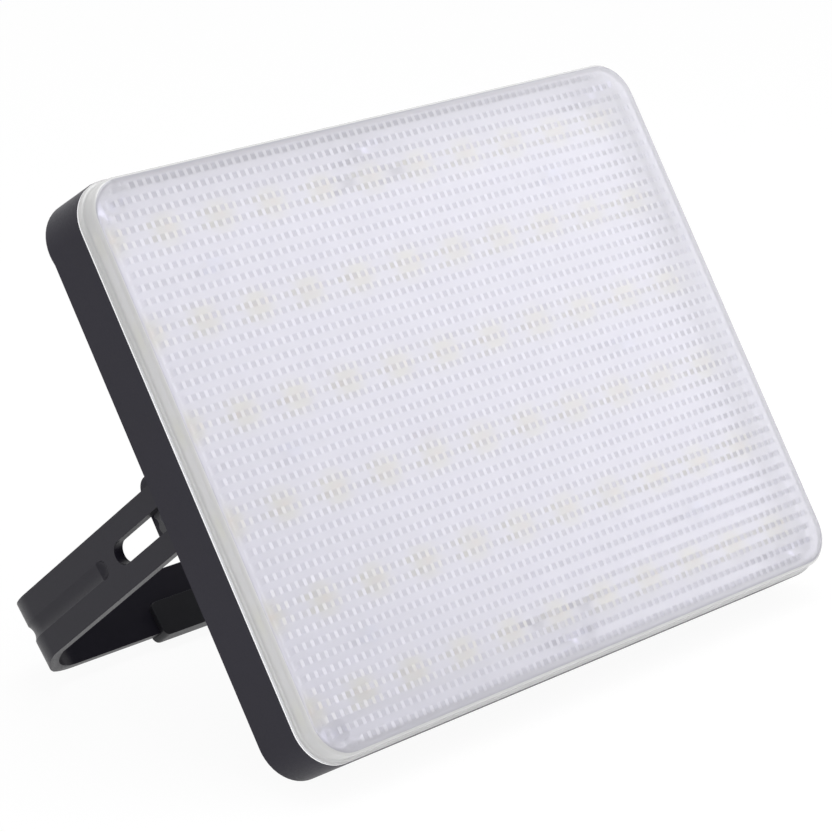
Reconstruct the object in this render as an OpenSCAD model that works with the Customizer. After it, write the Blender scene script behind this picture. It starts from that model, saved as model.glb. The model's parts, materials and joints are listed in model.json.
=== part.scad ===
// LED work light: a slim flood head that leans on a U-shaped folding stand.
// Head pieces are drawn in the head frame: x to the right, y backwards from the plane
// where lens and housing meet, z up the face from its bottom edge. Stand pieces are drawn
// from the pivot: y along the arms, z across the strip. Both are then set in the standing pose.

/* [Head] */
// Width of the housing
head_w = 260; // [220:1:320]
// Height of the housing
head_h = 200; // [180:1:240]
// Corner radius of the housing seen from the front
corner_r = 15; // [12:0.5:22]
// Depth of the housing from the lens seat to its rear edge
rim_depth = 19.6; // [17:0.1:26]
// Thickness of the rear rim
rim_wall = 2.6; // [2:0.1:3]
// Rounding of the rear edge of the rim
rim_fillet = 1.5; // [0.8:0.1:1.8]
// Width of the front lip that the lens sits on
lip_w = 5.2; // [4.6:0.1:6]
// Depth from the lens seat to the floor that carries the board
floor_y = 7; // [6.4:0.1:8]
// Thickness of the floor
floor_t = 2.4; // [2:0.1:4]

/* [Lens] */
// Depth of the lens in front of its seat
lens_depth = 8; // [7:0.5:14]
// Wall thickness of the lens
lens_wall = 2.4; // [1.8:0.1:2.8]
// Step from the housing side to the lens side wall
lens_inset = 1.2; // [0.8:0.1:1.4]
// Rounding of the front edge
lens_fillet = 4; // [3:0.1:4.6]
// Thickness of the flange at the lens seat
flange_t = 1.4; // [1:0.1:2]
// Step from the housing side to the flange edge
flange_inset = 0.3; // [0.1:0.1:0.6]
// Spacing of the prism rows
prism_pitch = 4.7; // [3.5:0.1:7]
// Height of the prism rows above the grooves between them
prism_h = 0.6; // [0.3:0.1:1]
// Flat on the crest of a prism row
prism_crest = 1.6; // [0.8:0.1:2]
// Flat at the bottom of a groove
prism_flat = 1.5; // [0.4:0.1:1.5]
// Plain border round the prism field
prism_margin = 6; // [6:0.5:14]
// Radius of the screw posts
post_r = 3.5; // [3:0.1:3.8]
// Distance of the screw posts from the top and bottom edges
post_edge = 10; // [9.8:0.1:10.4]
// Distance of the outer screw posts from the side edges
post_side = 13; // [12.8:0.1:18]

/* [Seal] */
// Distance of the seal groove from the housing side
seal_inset = 1.6; // [1.4:0.1:1.8]
// Width of the seal
seal_w = 1.8; // [1.4:0.1:2]
// Depth of the seal groove
seal_depth = 1.5; // [1:0.1:3]

/* [LED board] */
// Columns of LEDs
led_cols = 11; // [7:2:13]
// Rows of LEDs
led_rows = 6; // [4:2:8]
// Distance of the outer LED columns from the board sides
led_border_x = 5; // [4:0.1:12]
// Distance of the outer LED rows from the board top and bottom
led_border_z = 4.8; // [4:0.1:12]
// Side of an LED package
led_size = 3; // [2:0.1:4]
// Height of an LED package
led_h = 1; // [0.6:0.1:1.4]
// Board thickness
board_t = 1.6; // [1:0.1:2]
// Thickness of the thermal pad
pad_t = 1; // [0.6:0.1:1.6]
// Distance of the board edge from the housing top and bottom
board_edge = 14.2; // [14:0.1:16]
// Distance of the board edge from the housing sides
board_side = 8; // [7:0.5:11]

/* [Rear ribs] */
// Spacing of the cooling ribs
rib_pitch = 11; // [8:0.5:16]
// Height of the cooling ribs
rib_h = 6; // [4:0.5:7]
// Rib thickness at the floor
rib_root = 3; // [2.4:0.1:4]
// Rib thickness at the tip
rib_tip = 1.8; // [1.2:0.1:2.2]
// Distance of the rib ends from the top and bottom edges
rib_end = 20; // [16:1:40]
// Plain strip between the ribs and the housing sides
rib_side = 24; // [23:1:40]

/* [Junction box] */
// Width of the junction cover
box_w = 100; // [92:1:120]
// Height of the junction cover
box_h = 64; // [58:1:80]
// Height of the junction cover behind the rear edge of the rim
box_rise = 14.4; // [14:0.1:20]
// Wall of the junction cover
box_wall = 2.4; // [2:0.1:3]
// Corner radius of the junction cover
box_r = 7; // [6:0.5:9]
// Rounding of the rear edge of the junction cover
box_fillet = 3; // [2:0.1:4]
// Thickness of the junction seal
box_seal_t = 1; // [0.6:0.1:1.6]
// Distance of the cover screws from the cover sides
box_screw_inset = 7.4; // [7:0.1:8]

/* [Switch and gland] */
// Height of the switch frame
switch_h = 21; // [18:0.5:26]
// Width of the switch frame
switch_w = 15; // [13:0.5:20]
// Offset of the switch from the middle of the cover
switch_x = 27; // [24:0.5:28]
// Tilt of the rocker to either side
rocker_tilt = 8; // [5:0.5:10]
// Thread radius of the cable gland
gland_r = 6.1; // [5:0.1:6.4]
// Width across flats of the gland
gland_af = 15; // [14.2:0.1:15.4]
// Radius of the cable opening
cable_r = 3.2; // [2:0.1:3.6]

/* [Stand] */
// Width of the stand strip
strip_w = 23; // [18:0.2:23]
// Thickness of the stand strip
strip_t = 3.8; // [3:0.1:6]
// Step from the housing side to the outside of the stand arms
stand_inset = 3.4; // [3.3:0.1:5]
// Length from the pivot to the outside of the bar
stand_reach = 102; // [80:1:103]
// Outer radius of the bends
bend_r = 18; // [9:0.5:22]
// Width of the arm slot
slot_w = 8; // [6:0.2:9]
// Length of the arm slot between its end centres
slot_run = 27; // [12:0.5:30]
// Width of the stiffening groove
groove_w = 6; // [3:0.2:8]
// Depth of the stiffening groove
groove_d = 0.9; // [0.6:0.1:2]
// Distance of the groove start from the pivot
groove_start = 40.5; // [36:0.5:60]
// Distance of the pivot behind the rear edge of the rim
pivot_rise = 1.7; // [1.7:0.1:6]
// Height of the pivot above the bottom edge
pivot_z = 94.5; // [88:0.5:96]
// Dip of the arms below the head's straight-back line
arm_dip = 7.3; // [0:0.1:20]
// Depth of the hollow along the upper edge of the bar
bar_hollow = 3.5; // [0.5:0.1:5]
// Step from the lower edge of the arms down to the lower edge of the bar
bar_step = 2.3; // [0:0.1:4]

/* [Foot pads and mounting hole] */
// Length over both foot pads
foot_l = 142; // [100:1:180]
// Gap between the foot pads, round the mounting hole
foot_gap = 24; // [20:1:50]
// Wall thickness of the foot pads
foot_t = 2; // [1.4:0.1:3]
// Height of the foot pads
foot_h = 12.8; // [8:0.1:14]
// Radius of the mounting hole in the bar
mount_r = 4.25; // [3:0.05:5.25]

/* [Pivot] */
// Thickness of the hinge ears
ear_t = 6; // [4:0.5:8]
// Reach of the ears above the pivot
ear_reach = 15.5; // [13:0.5:18]
// Reach of the ears below the pivot
ear_drop = 10.5; // [10.5:0.5:14]
// Distance of the ear's rear face behind the pivot
ear_back = 13.8; // [10:0.1:15]
// Thickness of the index discs
disc_t = 2.4; // [1.6:0.1:3]
// Radius of the index discs
disc_r = 9.5; // [8:0.1:10.5]
// Lobes of an index disc
disc_lobes = 8; // [6:1:12]
// Radius of the pivot bolt thread
bolt_r = 3; // [2:0.1:3.4]

/* [Fasteners and fits] */
// Radius of the small screws
screw_r = 1.5; // [1.2:0.05:1.7]
// Radius of the small screw heads
screw_head_r = 2.9; // [2.5:0.05:3]
// Height of the small screw heads
screw_head_h = 1.9; // [1.4:0.1:2.2]
// Running clearance of shafts, on the radius
run_fit = 0.05; // [0.02:0.01:0.1]
// Clearance between flat faces that slide
slide_gap = 0.2; // [0.1:0.05:0.4]
// Clearance of screws in their holes, on the radius
screw_fit = 0.05; // [0.02:0.01:0.15]

/* [Hidden] */
$fn = 64;
// Overlap that lets one cut pass through the face it starts from
eps = 0.5;

charcoal = "#3b3a42";
black_rubber = "#222226";
clear_lens = "#dedce8";
bright_steel = "#b9bcc2";
board_white = "#f1f1ee";
led_yellow = "#efe6a8";
nylon_black = "#2b2b30";
rocker_black = "#1f1f22";
silicone_grey = "#9aa0a8";
wire_red = "#8d3b36";
term_ivory = "#d9d9d2";
brass_pin = "#b9975b";

// Head levels from front to back
lens_crown = -lens_depth;
lens_floor = lens_crown + lens_wall;
board_back = floor_y - pad_t;
board_front = board_back - board_t;
floor_back = floor_y + floor_t;
box_seat = floor_back + box_seal_t;
box_back = rim_depth + box_rise;
box_roof = box_back - box_wall;
mid_z = head_h / 2;

// Board outline and the LED spacing on it
board_w = head_w - 2 * board_side;
board_h = head_h - 2 * board_edge;
board_corner_r = 4;
pad_step = 1;
led_pitch_x = (board_w - 2 * led_border_x) / (led_cols - 1);
led_pitch_z = (board_h - 2 * led_border_z) / (led_rows - 1);
chip_w = 5;
chip_h = 4;
chip_t = 1.5;
chip_step = led_cols % 2 == 0 ? 1 : 0.5;

// Screw places
post_x = head_w / 2 - post_side;
post_places = [for (x = [-post_x, 0, post_x]) for (z = [post_edge, head_h - post_edge]) [x, z]];
board_screw_x = led_pitch_x * (led_cols / 2 - 2);
board_screw_z = led_pitch_z * (led_rows / 2 - 1);
board_places = [for (x = [-1, 1]) for (z = [-1, 0, 1])
    [x * board_screw_x, mid_z + z * board_screw_z]];
box_places = [for (x = [-1, 1]) for (z = [-1, 1])
    [x * (box_w / 2 - box_screw_inset), mid_z + z * (box_h / 2 - box_screw_inset)]];
boss_wall = 2.4;
boss_r = screw_r + boss_wall;
screw_seat_lip = 1.2;
screw_seat_r = screw_head_r + screw_seat_lip;
screw_seat_h = 1;
screw_drive_r = screw_r * 0.7;
head_recess_fit = 0.2;
board_boss_h = 3;
blind_stop = 1;
box_pillar_h = 6;
lens_screw_l = 9;
board_screw_l = 4.6;
box_screw_grip = 4.5;
box_screw_l = box_back - screw_head_h - floor_back - box_pillar_h + box_screw_grip;

// Lead wires run straight from the terminal block to the board
wire_r = 0.9;
wire_pitch = 5;
wire_x = -22;
wire_drop = 8;
wire_z = mid_z - wire_drop;
wire_stub = 0.6;
wire_places = [for (i = [-1, 1]) [wire_x + i * wire_pitch / 2, wire_z]];
grommet_r = 5.5;
grommet_lip = 1.2;

// Terminal block
term_w = 24;
term_h = 16;
term_d = 11;
term_gap = 0.5;
term_base = wire_z + grommet_r + grommet_lip + term_gap;
term_over = 2;
term_pitch = 8;
term_screw_r = 1.9;
term_screw_base = 3;
term_screw_drop = 1;
term_slot_w = 0.7;
term_slot_d = 0.8;

// Switch
frame_t = 2;
frame_r = 1.5;
switch_bezel = 1.4;
switch_body_d = 12;
cutout_w = switch_w - 2 * switch_bezel;
cutout_h = switch_h - 2 * switch_bezel;
rocker_gap = 0.5;
rocker_w = cutout_w - 2 * switch_bezel - 2 * rocker_gap;
rocker_h = cutout_h - 2 * switch_bezel - 2 * rocker_gap;
rocker_sink = 1;
rocker_pivot_y = box_back + frame_t - rocker_sink;
rocker_depth = 3;
rocker_dish = 2;
rocker_draft = 0.3;
rocker_taper = 1.5;
rocker_room = 2;
rocker_pin_r = 1;
rocker_pin_l = 0.9;
rocker_pin_gap = 0.2;

// Gland, pointing down from the lower wall of the junction cover
cable_gap = 0.3;
gland_y = rim_depth + cable_r + cable_gap;
gland_x = wire_x;
box_bottom = mid_z - box_h / 2;
gland_flange_t = 4;
gland_thread_l = 10;
gland_nut_l = 11;
gland_hex_l = 6;
gland_cone_l = 2;
gland_nut_gap = 0.6;
gland_step = 0.2;
gland_seal_wall = 1.4;
gland_seal_sink = 1;
gland_tail = 1;
gland_nut_wall = 1.6;
gland_tip = 2.4;
locknut_t = 3.4;
gland_corner_r = gland_af / sqrt(3);
gland_room = 6;

// Pivot stack from the outside of an arm to the nut
pivot_y = rim_depth + pivot_rise;
arm_out = head_w / 2 - stand_inset;
arm_in = arm_out - strip_t;
disc_out = arm_in - slide_gap;
ear_out = disc_out - disc_t;
ear_in = ear_out - ear_t;
shoulder_r = slot_w / 2 - run_fit;
washer_t = 1.2;
washer_lip = 4;
washer_r = bolt_r + washer_lip;
nut_t = 5.4;
nut_hex_t = 3.8;
nut_collar_step = 0.3;
nut_af = 10;
bolt_nose = 1.8;
bolt_drive_r = 1.45;
bolt_drive_d = 2.5;
bolt_tail = 1.5;
ear_round = 5;
gusset_t = 3;
gusset_l = 6;
gusset_h = 14;
scallop_r = 2;

// Round dimple that starts the groove on each arm
dimple_r = groove_w / 2 + 0.3;
dimple_d = 2;
dimple_ball_r = (dimple_r * dimple_r + dimple_d * dimple_d) / (2 * dimple_d);

// Foot pads over the lower edge of the bar
bar_low = strip_w / 2 + bar_step;
foot_run = (foot_l - foot_gap) / 2;
foot_mid = (foot_l + foot_gap) / 4;
foot_corner_r = 2.5;

// Lean of the head: the ground touches the rear edge of the rim and the lower edge of the foot pads
rim_c = [rim_depth - rim_fillet, rim_fillet];
foot_reach = stand_reach + foot_t;
foot_drop = bar_low + foot_t;
foot_low = [pivot_y + foot_reach * cos(arm_dip) - foot_drop * sin(arm_dip),
    pivot_z - foot_reach * sin(arm_dip) - foot_drop * cos(arm_dip)];
bar_high = [pivot_y + stand_reach * cos(arm_dip) + strip_w / 2 * sin(arm_dip),
    pivot_z - stand_reach * sin(arm_dip) + strip_w / 2 * cos(arm_dip)];
foot_span = norm(foot_low - rim_c);
lean = atan2(foot_low[1] - rim_c[1], foot_low[0] - rim_c[0]) + asin(rim_fillet / foot_span);

// Ground height and the front and rear ends of the whole light, turned by the lean
ground_z = rim_c[1] * cos(lean) - rim_c[0] * sin(lean) - rim_fillet;
lens_edge = lens_inset + lens_fillet;
front_end = (lens_crown + lens_fillet) * cos(lean) + lens_edge * sin(lean) - lens_fillet;
rear_end = bar_high[0] * cos(lean) + bar_high[1] * sin(lean);
ground_y = (front_end + rear_end) / 2;

// Sets head pieces in the standing pose, with the origin on the ground under the middle
module in_head() {
    translate([0, -ground_y, -ground_z]) rotate([-lean, 0, 0]) children();
}

// Sets stand pieces in the standing pose
module in_stand() {
    in_head() translate([0, pivot_y, pivot_z]) rotate([-arm_dip, 0, 0]) children();
}

// Extrudes an x-z outline from depth y0 back to depth y1
module slab(y0, y1) {
    translate([0, y1, 0]) rotate([90, 0, 0]) linear_extrude(y1 - y0) children();
}

// Extrudes a y-z outline along x between x0 and x1
module across(x0, x1) {
    translate([x0, 0, 0]) rotate([90, 0, 90]) linear_extrude(x1 - x0) children();
}

// Cylinder along y at an x-z place, from depth y0 back to depth y1
module rod(place, r, y0, y1) {
    translate([place[0], y1, place[1]]) rotate([90, 0, 0]) cylinder(r = r, h = y1 - y0);
}

// Cylinder along x from x0 to x1, on the pivot
module pin(r, x0, x1) {
    translate([x0, 0, 0]) rotate([0, 90, 0]) cylinder(r = r, h = x1 - x0);
}

module rounded_rect(w, h, r) {
    square([w - 2 * r, h], center = true);
    square([w, h - 2 * r], center = true);
    for (x = [-1, 1])
        for (y = [-1, 1])
            translate([x * (w / 2 - r), y * (h / 2 - r)]) circle(r = r);
}

// Rounded outline centred on the face
module face_outline(w, h, r, inset = 0) {
    translate([0, mid_z]) rounded_rect(w - 2 * inset, h - 2 * inset, r - inset);
}

module head_outline(inset) {
    face_outline(head_w, head_h, corner_r, inset);
}

// Rounded block from seat to crown, with its crown edge rolled over all round
module pillow(w, h, r, seat, crown, fillet) {
    out = sign(crown - seat);
    shoulder = crown - out * fillet;
    slab(min(seat, shoulder), max(seat, shoulder)) face_outline(w, h, r);
    slab(min(seat, crown), max(seat, crown)) face_outline(w, h, r, fillet);
    for (z = [-1, 1])
        translate([0, shoulder, mid_z + z * (h / 2 - fillet)]) rotate([0, 90, 0])
            cylinder(r = fillet, h = w - 2 * r, center = true);
    for (x = [-1, 1])
        translate([x * (w / 2 - fillet), shoulder, mid_z])
            cylinder(r = fillet, h = h - 2 * r, center = true);
    for (x = [-1, 1])
        for (z = [-1, 1])
            translate([x * (w / 2 - r), shoulder, mid_z + z * (h / 2 - r)]) rotate([90, 0, 0])
                rotate_extrude() translate([r - fillet, 0]) circle(r = fillet);
}

// Screw along y whose head sits on depth y0, with its shank towards the front
module screw(place, y0, len) {
    difference() {
        union() {
            rod(place, screw_r, y0 - len, y0 + eps);
            rod(place, screw_head_r, y0, y0 + screw_head_h);
        }
        rod(place, screw_drive_r, y0 + screw_head_h / 2, y0 + screw_head_h + eps, $fn = 6);
    }
}

// Die-cast housing

// Cooling rib: a drafted bar on the floor, standing between two heights
module rib(x, z0, z1) {
    translate([x, floor_back, z0]) linear_extrude(z1 - z0)
        polygon([[-rib_root / 2, -eps], [rib_root / 2, -eps], [rib_root / 2, 0],
            [rib_tip / 2, rib_h], [-rib_tip / 2, rib_h], [-rib_root / 2, 0]]);
}

module ribs() {
    span = head_w / 2 - rib_side - rib_root / 2;
    count = floor(span / rib_pitch - 0.5);
    keep_x = box_w / 2 + rib_root;
    keep_low = box_bottom - gland_flange_t - gland_nut_l - gland_tip - gland_room;
    keep_high = mid_z + box_h / 2 + rib_root;
    for (i = [-count - 1 : count]) {
        x = (i + 0.5) * rib_pitch;
        if (abs(x) > keep_x) {
            rib(x, rib_end, head_h - rib_end);
        } else {
            rib(x, rib_end, keep_low);
            rib(x, keep_high, head_h - rib_end);
        }
    }
}

// Hinge ear: a rounded lug on the floor, propped by two gussets on its inner side
module ear(side) {
    base = floor_back - pivot_y - eps;
    flank = ear_reach + ear_drop - 2 * ear_round;
    x0 = min(side * ear_out, side * ear_in);
    translate([0, pivot_y, pivot_z]) difference() {
        union() {
            across(x0, x0 + ear_t) {
                translate([base, -ear_drop]) square([ear_back - ear_round - base, ear_reach + ear_drop]);
                translate([base, ear_round - ear_drop]) square([ear_back - base, flank]);
                for (z = [ear_round - ear_drop, ear_reach - ear_round])
                    translate([ear_back - ear_round, z]) circle(r = ear_round);
            }
            for (z = [gusset_t / 2 - ear_drop, ear_reach - gusset_t / 2])
                translate([side * (ear_in + eps), base, z])
                    linear_extrude(gusset_t, center = true)
                        polygon([[0, 0], [-side * (gusset_l + eps), 0], [-side * (gusset_l + eps), eps],
                            [-side * eps, gusset_h], [0, gusset_h]]);
        }
        pin(bolt_r + run_fit, x0 - eps, x0 + ear_t + eps);
    }
}

module rear_housing() {
    color(charcoal) in_head() {
        difference() {
            union() {
                difference() {
                    pillow(head_w, head_h, corner_r, 0, rim_depth, rim_fillet);
                    slab(floor_back, rim_depth + eps) head_outline(rim_wall);
                }
                ribs();
                for (p = post_places)
                    rod(p, screw_seat_r, floor_back - eps, floor_back + screw_seat_h);
                for (p = board_places)
                    rod(p, boss_r, floor_back - eps, floor_back + board_boss_h);
                for (p = box_places)
                    rod(p, boss_r, floor_back - eps, floor_back + box_pillar_h);
            }
            slab(-eps, floor_y) head_outline(lip_w);
            slab(-eps, seal_depth) difference() {
                head_outline(seal_inset);
                head_outline(seal_inset + seal_w);
            }
            for (p = post_places)
                rod(p, screw_r + screw_fit, floor_y - eps, floor_back + screw_seat_h + eps);
            for (p = board_places)
                rod(p, screw_r + screw_fit, floor_y - eps, floor_back + board_boss_h - blind_stop);
            for (p = box_places)
                rod(p, screw_r + screw_fit, floor_y + blind_stop, floor_back + box_pillar_h + eps);
            rod([wire_x, wire_z], grommet_r, floor_y - eps, floor_back + eps);
        }
        ear(-1);
        ear(1);
    }
}

// Prismatic lens

// Half length of a groove at a height, shortened round the corners of the face
function groove_half(z) =
    let (edge = min(z, head_h - z), dip = max(0, corner_r - edge))
    head_w / 2 - prism_margin - (corner_r - sqrt(max(0, corner_r * corner_r - dip * dip)));

// Grooves across the front face, which leave the prism rows standing between them
module prism_grooves() {
    mouth = prism_pitch - prism_crest;
    rows = floor((head_h - 2 * prism_margin - mouth) / prism_pitch);
    for (i = [0 : rows]) {
        z = mid_z + (i - rows / 2) * prism_pitch;
        half = groove_half(z);
        across(-half, half) polygon([[lens_crown - eps, z - mouth / 2], [lens_crown, z - mouth / 2],
            [lens_crown + prism_h, z - prism_flat / 2], [lens_crown + prism_h, z + prism_flat / 2],
            [lens_crown, z + mouth / 2], [lens_crown - eps, z + mouth / 2]]);
    }
}

module lens_cover() {
    inner = lens_inset + lens_wall;
    color(clear_lens) in_head() difference() {
        union() {
            difference() {
                union() {
                    slab(-flange_t, 0) head_outline(flange_inset);
                    pillow(head_w - 2 * lens_inset, head_h - 2 * lens_inset, corner_r - lens_inset,
                        -flange_t, lens_crown, lens_fillet);
                }
                slab(lens_floor, eps) head_outline(inner);
            }
            for (p = post_places)
                rod(p, post_r, lens_floor - eps, floor_y);
        }
        prism_grooves();
        for (p = post_places)
            rod(p, screw_r + screw_fit, floor_back + screw_seat_h - lens_screw_l - eps, floor_y + eps);
    }
}

module lens_seal() {
    color(black_rubber) in_head() slab(0, seal_depth) difference() {
        head_outline(seal_inset);
        head_outline(seal_inset + seal_w);
    }
}

// LED board

module board_outline(extra = 0) {
    translate([0, mid_z]) difference() {
        rounded_rect(board_w - 2 * extra, board_h - 2 * extra, board_corner_r);
        for (p = board_places)
            translate(p - [0, mid_z]) circle(r = screw_r + screw_fit + extra);
        for (p = wire_places)
            translate(p - [0, mid_z]) circle(r = wire_r + screw_fit + extra);
    }
}

module led_board() {
    color(board_white) in_head() slab(board_front, board_back) board_outline();
}

module thermal_pad() {
    color(silicone_grey) in_head() slab(board_back, floor_y) board_outline(pad_step);
}

module led_chips() {
    color(led_yellow) in_head()
        for (i = [0 : led_cols - 1])
            for (k = [0 : led_rows - 1])
                translate([(i - (led_cols - 1) / 2) * led_pitch_x, board_front - led_h / 2,
                    mid_z + (k - (led_rows - 1) / 2) * led_pitch_z])
                    cube([led_size, led_h, led_size], center = true);
}

module driver_chips() {
    row_z = led_pitch_z * (led_rows - 1) / 2;
    color(nylon_black) in_head()
        for (x = [-chip_step, chip_step])
            for (z = [-row_z, row_z])
                translate([x * led_pitch_x, board_front - chip_t / 2, mid_z + z])
                    cube([chip_w, chip_t, chip_h], center = true);
}

module board_screws() {
    color(bright_steel) in_head()
        for (p = board_places) difference() {
            union() {
                rod(p, screw_r, board_front - eps, board_front + board_screw_l);
                rod(p, screw_head_r, board_front - screw_head_h, board_front);
            }
            rod(p, screw_drive_r, board_front - screw_head_h - eps, board_front - screw_head_h / 2,
                $fn = 6);
        }
}

module lens_screws() {
    color(bright_steel) in_head()
        for (p = post_places)
            screw(p, floor_back + screw_seat_h, lens_screw_l);
}

module lead_wires() {
    color(wire_red) in_head()
        for (p = wire_places)
            rod(p, wire_r, board_front - wire_stub, floor_back + term_d / 2);
}

module wire_grommet() {
    color(black_rubber) in_head() difference() {
        union() {
            rod([wire_x, wire_z], grommet_r, floor_y, floor_back + eps);
            rod([wire_x, wire_z], grommet_r + grommet_lip, floor_back, floor_back + grommet_lip);
        }
        for (p = wire_places)
            rod(p, wire_r + screw_fit, floor_y - eps, floor_back + grommet_lip + eps);
    }
}

// Junction box

module terminal_block() {
    color(term_ivory) in_head() difference() {
        union() {
            slab(floor_back, floor_back + term_d) translate([wire_x - term_w / 2, term_base])
                square([term_w, term_h]);
            slab(floor_back + grommet_lip + slide_gap, floor_back + term_d)
                translate([wire_x - term_w / 2, wire_z - term_over])
                    square([term_w, term_base - wire_z + term_over + eps]);
        }
        for (i = [-1, 0, 1])
            rod([wire_x + i * term_pitch, term_base + term_h / 2], term_screw_r + screw_fit,
                floor_back + term_screw_base, floor_back + term_d + eps);
        for (p = wire_places)
            rod(p, wire_r + screw_fit, floor_back, floor_back + term_d / 2);
    }
}

module terminal_screws() {
    color(brass_pin) in_head()
        for (i = [-1, 0, 1]) difference() {
            rod([wire_x + i * term_pitch, term_base + term_h / 2], term_screw_r,
                floor_back + term_screw_base, floor_back + term_d - term_screw_drop);
            slab(floor_back + term_d - term_screw_drop - term_slot_d, floor_back + term_d)
                translate([wire_x + i * term_pitch, term_base + term_h / 2])
                    square([2 * term_screw_r, term_slot_w], center = true);
        }
}

module junction_cover() {
    color(charcoal) in_head() difference() {
        union() {
            difference() {
                pillow(box_w, box_h, box_r, box_seat, box_back, box_fillet);
                slab(box_seat - eps, box_roof) face_outline(box_w, box_h, box_r, box_wall);
            }
            for (p = box_places)
                rod(p, boss_r, floor_back + box_pillar_h, box_roof + eps);
        }
        for (p = box_places) {
            rod(p, screw_r + screw_fit, box_seat - eps, box_back + eps);
            rod(p, screw_head_r + head_recess_fit, box_back - screw_head_h, box_back + eps);
        }
        slab(box_roof - eps, box_back + eps) translate([switch_x, mid_z])
            square([cutout_w, cutout_h], center = true);
        translate([gland_x, gland_y, box_bottom - eps])
            cylinder(r = gland_r + screw_fit, h = box_wall + 2 * eps);
    }
}

module junction_seal() {
    color(black_rubber) in_head() slab(floor_back, box_seat) difference() {
        face_outline(box_w, box_h, box_r);
        face_outline(box_w, box_h, box_r, box_wall);
    }
}

module junction_screws() {
    color(bright_steel) in_head()
        for (p = box_places)
            screw(p, box_back - screw_head_h, box_screw_l);
}

// Rocker switch: the frame clips in the cover and the rocker tilts in it about x

module switch_body() {
    pin_end = rocker_w / 2 + rocker_gap + rocker_pin_l;
    color(nylon_black) in_head() difference() {
        union() {
            slab(box_back, box_back + frame_t) translate([switch_x, mid_z])
                rounded_rect(switch_w, switch_h, frame_r);
            slab(box_back - switch_body_d, box_back + eps) translate([switch_x, mid_z])
                square([cutout_w - 2 * screw_fit, cutout_h - 2 * screw_fit], center = true);
        }
        slab(rocker_pivot_y - rocker_depth - rocker_room, box_back + frame_t + eps)
            translate([switch_x, mid_z])
                square([rocker_w + 2 * rocker_gap, rocker_h + 2 * rocker_gap], center = true);
        translate([switch_x, rocker_pivot_y, mid_z])
            pin(rocker_pin_r + run_fit, -pin_end - rocker_pin_gap, pin_end + rocker_pin_gap);
    }
}

module switch_rocker() {
    half = rocker_h / 2;
    rise = rocker_dish + half * tan(rocker_tilt);
    pin_end = rocker_w / 2 + rocker_gap + rocker_pin_l;
    color(rocker_black) in_head() translate([switch_x, rocker_pivot_y, mid_z]) rotate([rocker_tilt, 0, 0]) {
        across(-rocker_w / 2, rocker_w / 2)
            polygon([[-rocker_depth, -half + rocker_taper], [0, -half], [rise, -half + rocker_draft],
                [rocker_dish, 0], [rise, half - rocker_draft], [0, half],
                [-rocker_depth, half - rocker_taper]]);
        pin(rocker_pin_r, -pin_end, pin_end);
    }
}

// Cable gland, hanging from the lower wall of the junction cover

module gland_at(z) {
    translate([gland_x, gland_y, z]) children();
}

module gland_body() {
    color(nylon_black) in_head() difference() {
        union() {
            gland_at(box_bottom - gland_flange_t)
                cylinder(r = gland_corner_r, h = gland_flange_t, $fn = 6);
            gland_at(box_bottom - gland_flange_t)
                cylinder(r = gland_r, h = gland_flange_t + box_wall + locknut_t + gland_tail);
            gland_at(box_bottom - gland_flange_t - gland_thread_l)
                cylinder(r = gland_r, h = gland_thread_l + eps);
        }
        gland_at(box_bottom - gland_flange_t - gland_thread_l - eps)
            cylinder(r = cable_r + gland_seal_wall,
                h = gland_thread_l + gland_flange_t + box_wall + locknut_t + gland_tail + 2 * eps);
    }
}

module gland_locknut() {
    color(nylon_black) in_head() gland_at(box_bottom + box_wall) difference() {
        cylinder(r = gland_corner_r - gland_step, h = locknut_t, $fn = 6);
        translate([0, 0, -eps]) cylinder(r = gland_r + screw_fit, h = locknut_t + 2 * eps);
    }
}

module gland_seal() {
    color(black_rubber) in_head() gland_at(box_bottom - gland_flange_t - gland_thread_l) difference() {
        cylinder(r = cable_r + gland_seal_wall - screw_fit, h = gland_thread_l - gland_seal_sink);
        translate([0, 0, -eps]) cylinder(r = cable_r, h = gland_thread_l + 2 * eps);
    }
}

module gland_nut() {
    cone_r = gland_r + gland_nut_wall - gland_step;
    color(nylon_black) in_head() gland_at(box_bottom - gland_flange_t) difference() {
        union() {
            translate([0, 0, -gland_hex_l])
                cylinder(r = gland_corner_r, h = gland_hex_l - gland_nut_gap, $fn = 6);
            rotate_extrude() polygon([[0, -gland_nut_l - gland_tip],
                [cable_r + gland_nut_wall, -gland_nut_l - gland_tip],
                [cone_r, -gland_hex_l - gland_cone_l], [cone_r, eps - gland_hex_l],
                [0, eps - gland_hex_l]]);
        }
        translate([0, 0, -gland_thread_l]) cylinder(r = gland_r + screw_fit, h = gland_thread_l + eps);
        translate([0, 0, -gland_nut_l - gland_tip - eps])
            cylinder(r = cable_r, h = gland_nut_l + gland_tip);
    }
}

// Folding stand

// Outline of the bent strip in the x-y plane, drawn in from its outside
module bow_outline(inset) {
    half = arm_out - inset;
    reach = stand_reach - inset;
    r = bend_r - inset;
    translate([-half, -strip_w]) square([2 * half, strip_w + reach - r]);
    translate([-half + r, -strip_w]) square([2 * half - 2 * r, strip_w + reach]);
    for (x = [-1, 1])
        translate([x * (half - r), reach - r]) circle(r = r);
}

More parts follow.
